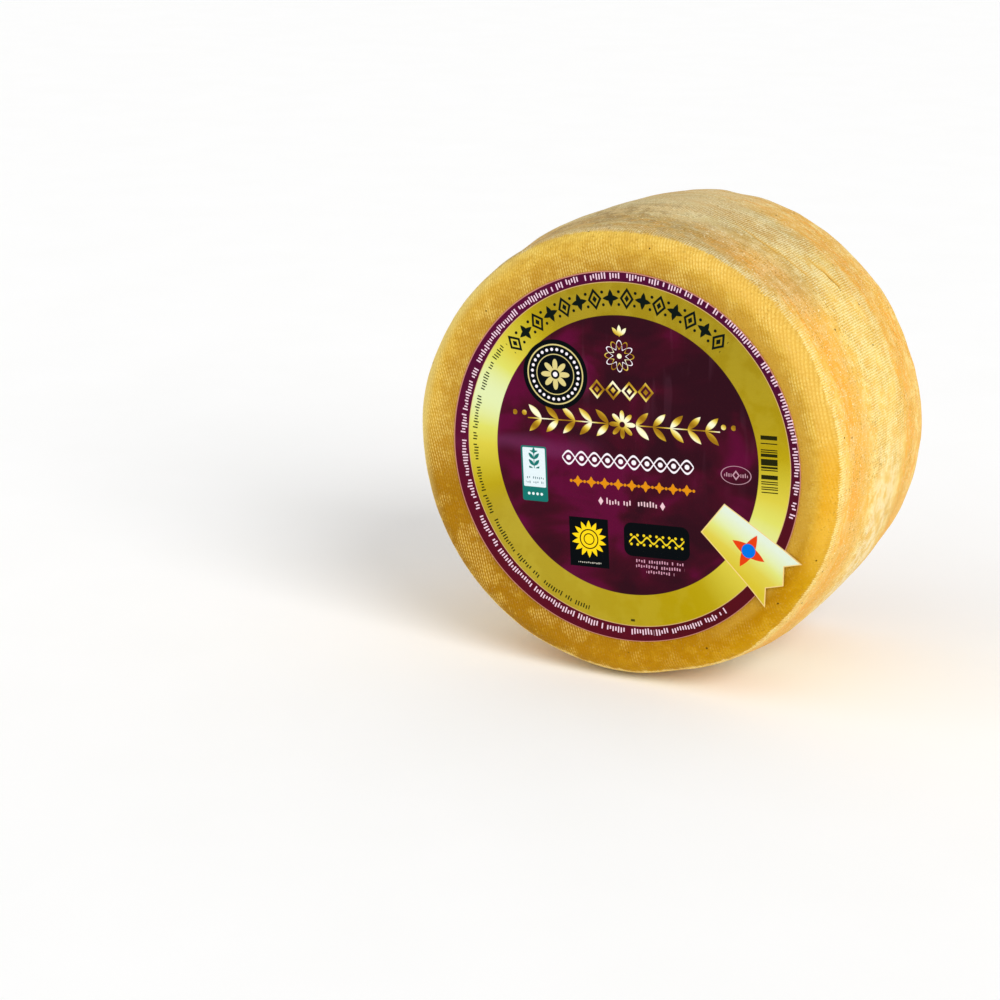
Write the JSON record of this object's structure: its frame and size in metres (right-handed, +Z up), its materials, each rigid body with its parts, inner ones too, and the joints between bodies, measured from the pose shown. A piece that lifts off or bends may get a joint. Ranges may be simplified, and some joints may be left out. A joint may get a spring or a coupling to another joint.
{
  "type": "sheep milk cheese wheel",
  "caption": "Whole wheel of aged sheep's-milk cheese standing on its edge, with a cloth-marked golden rind and a thin round foil label with a ribbon-shaped tab on its front face.",
  "frame": {"origin": "on the small flat spot that the wheel stands on, under the middle of the object's box", "axes": "+Z up; +Y along the wheel's axis from the labelled face to the plain back face; +X to the right as one looks at the labelled face"},
  "size_m": [0.1896, 0.11, 0.1882],
  "materials": {
    "rind": null,
    "label_foil": "thin printed film with satin gold foil rings and a glossy burgundy field, slightly wrinkled"
  },
  "bodies": {
    "root": {"wheel": "rind", "label": "label_foil"}
  },
  "joints": []
}
